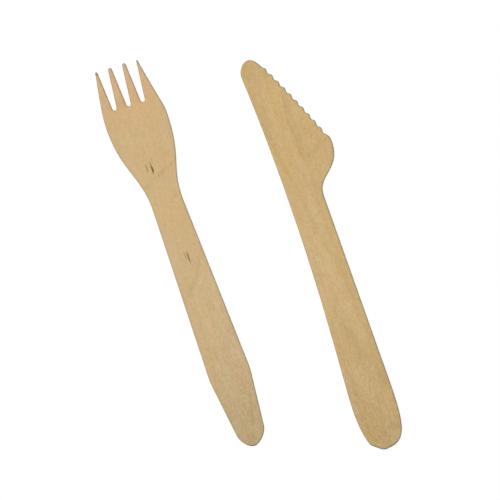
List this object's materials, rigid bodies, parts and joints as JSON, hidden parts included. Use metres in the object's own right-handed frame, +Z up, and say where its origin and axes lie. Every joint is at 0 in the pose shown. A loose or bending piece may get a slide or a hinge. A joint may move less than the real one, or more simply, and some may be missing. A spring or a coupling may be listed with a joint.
{
  "type": "wooden cutlery set",
  "caption": "Disposable wooden cutlery: a fork with slim tapered tines and a knife with a serrated slanted edge, each stamped from birch veneer, lying side by side.",
  "frame": {"origin": "middle of the footprint of the two utensils, on the table", "axes": "+Y runs from the handles to the tine tips and the knife's tip, +X from the fork to the knife, +Z up from the table"},
  "size_m": [0.0826, 0.1798, 0.005],
  "materials": {
    "fork_birch": "bare birch veneer, sanded smooth and unvarnished, satin to matt, fine grain along the fork",
    "knife_birch": "bare birch veneer, sanded smooth and unvarnished, satin to matt, fine grain along the knife"
  },
  "bodies": {
    "root": {"fork": "fork_birch", "knife": "knife_birch"}
  },
  "joints": []
}
